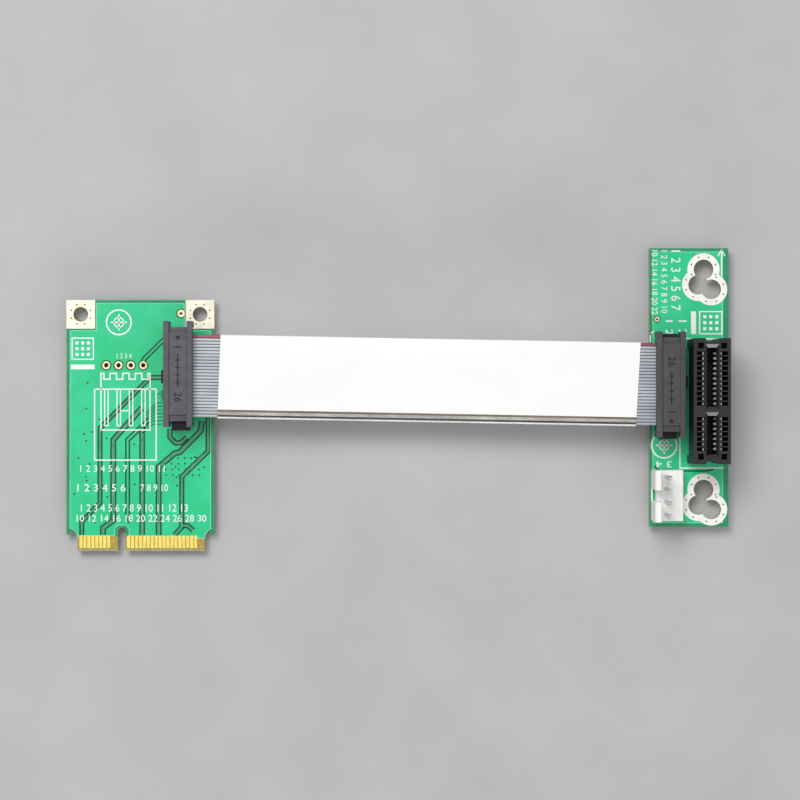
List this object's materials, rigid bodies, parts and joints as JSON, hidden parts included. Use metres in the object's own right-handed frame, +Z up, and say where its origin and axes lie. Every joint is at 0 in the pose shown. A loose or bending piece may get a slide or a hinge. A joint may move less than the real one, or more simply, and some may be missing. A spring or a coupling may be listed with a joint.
{
  "type": "pcie riser card",
  "caption": "Small edge connector card joined by a flat shielded ribbon with sockets at both ends to a narrow board that carries an x1 card slot and a power header.",
  "frame": {"origin": "middle of the bounding box at its bottom, on the surface that the solder tails stand on", "axes": "+X along the ribbon from the mini card to the slot board, +Y along the boards away from the edge contacts, +Z up out of the slot"},
  "size_m": [0.1342, 0.0614, 0.0143],
  "materials": {
    "card_mask": "glass-fibre laminate under glossy green solder mask",
    "slot_board_mask": "glass-fibre laminate under glossy green solder mask",
    "finger_gold": "gold-plated copper, satin",
    "pad_tin": "hot-air levelled tin, satin",
    "pin_tin": "tin-plated square wire",
    "post_tin": "tin-plated square wire",
    "contact_spring": "gold-flashed spring bronze",
    "header_black": "moulded black nylon",
    "socket_black": "moulded charcoal plastic, fine grain",
    "cover_black": "moulded charcoal plastic, fine grain",
    "slot_black": "moulded black plastic",
    "power_white": "moulded natural white nylon",
    "wire_grey": "light grey ribbon insulation, ribbed",
    "wire_red": "red marked wire of the ribbon",
    "foil_silver": "thin metal foil wrap",
    "film_white": "white plastic film"
  },
  "bodies": {
    "root": {"mini_card_board": "card_mask", "slot_board": "slot_board_mask", "edge_contacts_top": "finger_gold", "edge_contacts_bottom": "finger_gold", "card_header_base": "header_black", "card_header_pins": "pin_tin", "slot_header_base": "header_black", "slot_header_pins": "pin_tin", "card_socket_body": "socket_black", "card_socket_cover": "cover_black", "slot_socket_body": "socket_black", "slot_socket_cover": "cover_black", "slot_housing": "slot_black", "slot_contacts_a_near": "contact_spring", "slot_contacts_a_far": "contact_spring", "slot_contacts_b_near": "contact_spring", "slot_contacts_b_far": "contact_spring", "power_header_housing": "power_white", "power_header_posts": "post_tin", "card_screw_pads": "pad_tin", "ribbon_wires": "wire_grey", "ribbon_marked_wire": "wire_red", "ribbon_foil_wrap": "foil_silver", "ribbon_film_top": "film_white", "ribbon_film_bottom": "film_white"}
  },
  "joints": []
}
